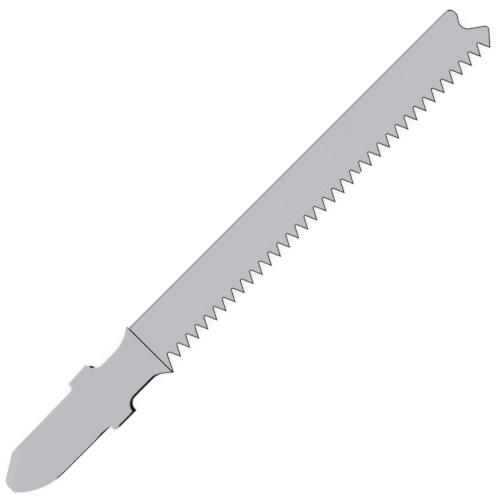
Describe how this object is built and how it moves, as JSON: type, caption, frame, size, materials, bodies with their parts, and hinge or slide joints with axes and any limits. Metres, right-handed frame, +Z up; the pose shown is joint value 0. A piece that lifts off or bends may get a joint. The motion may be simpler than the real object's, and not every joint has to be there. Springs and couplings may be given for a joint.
{
  "type": "jigsaw blade",
  "caption": "Straight jigsaw blade with a T shank, a body ground thinner towards its back, fine ground teeth along one edge and a hooked nose. A jigsaw's clamp holds it by the shank.",
  "frame": {"origin": "on the shank's underside, on the blade's centreline, midway along the two lugs of the T shank", "axes": "+X along the blade towards the nose, +Y towards the back edge (the teeth face -Y), +Z up through the thickness"},
  "size_m": [0.092, 0.0095, 0.0015],
  "materials": {
    "steel": "bare tool steel, satin ground, darker on its side walls and in the bevels"
  },
  "bodies": {
    "root": {"blade": "steel"}
  },
  "joints": []
}
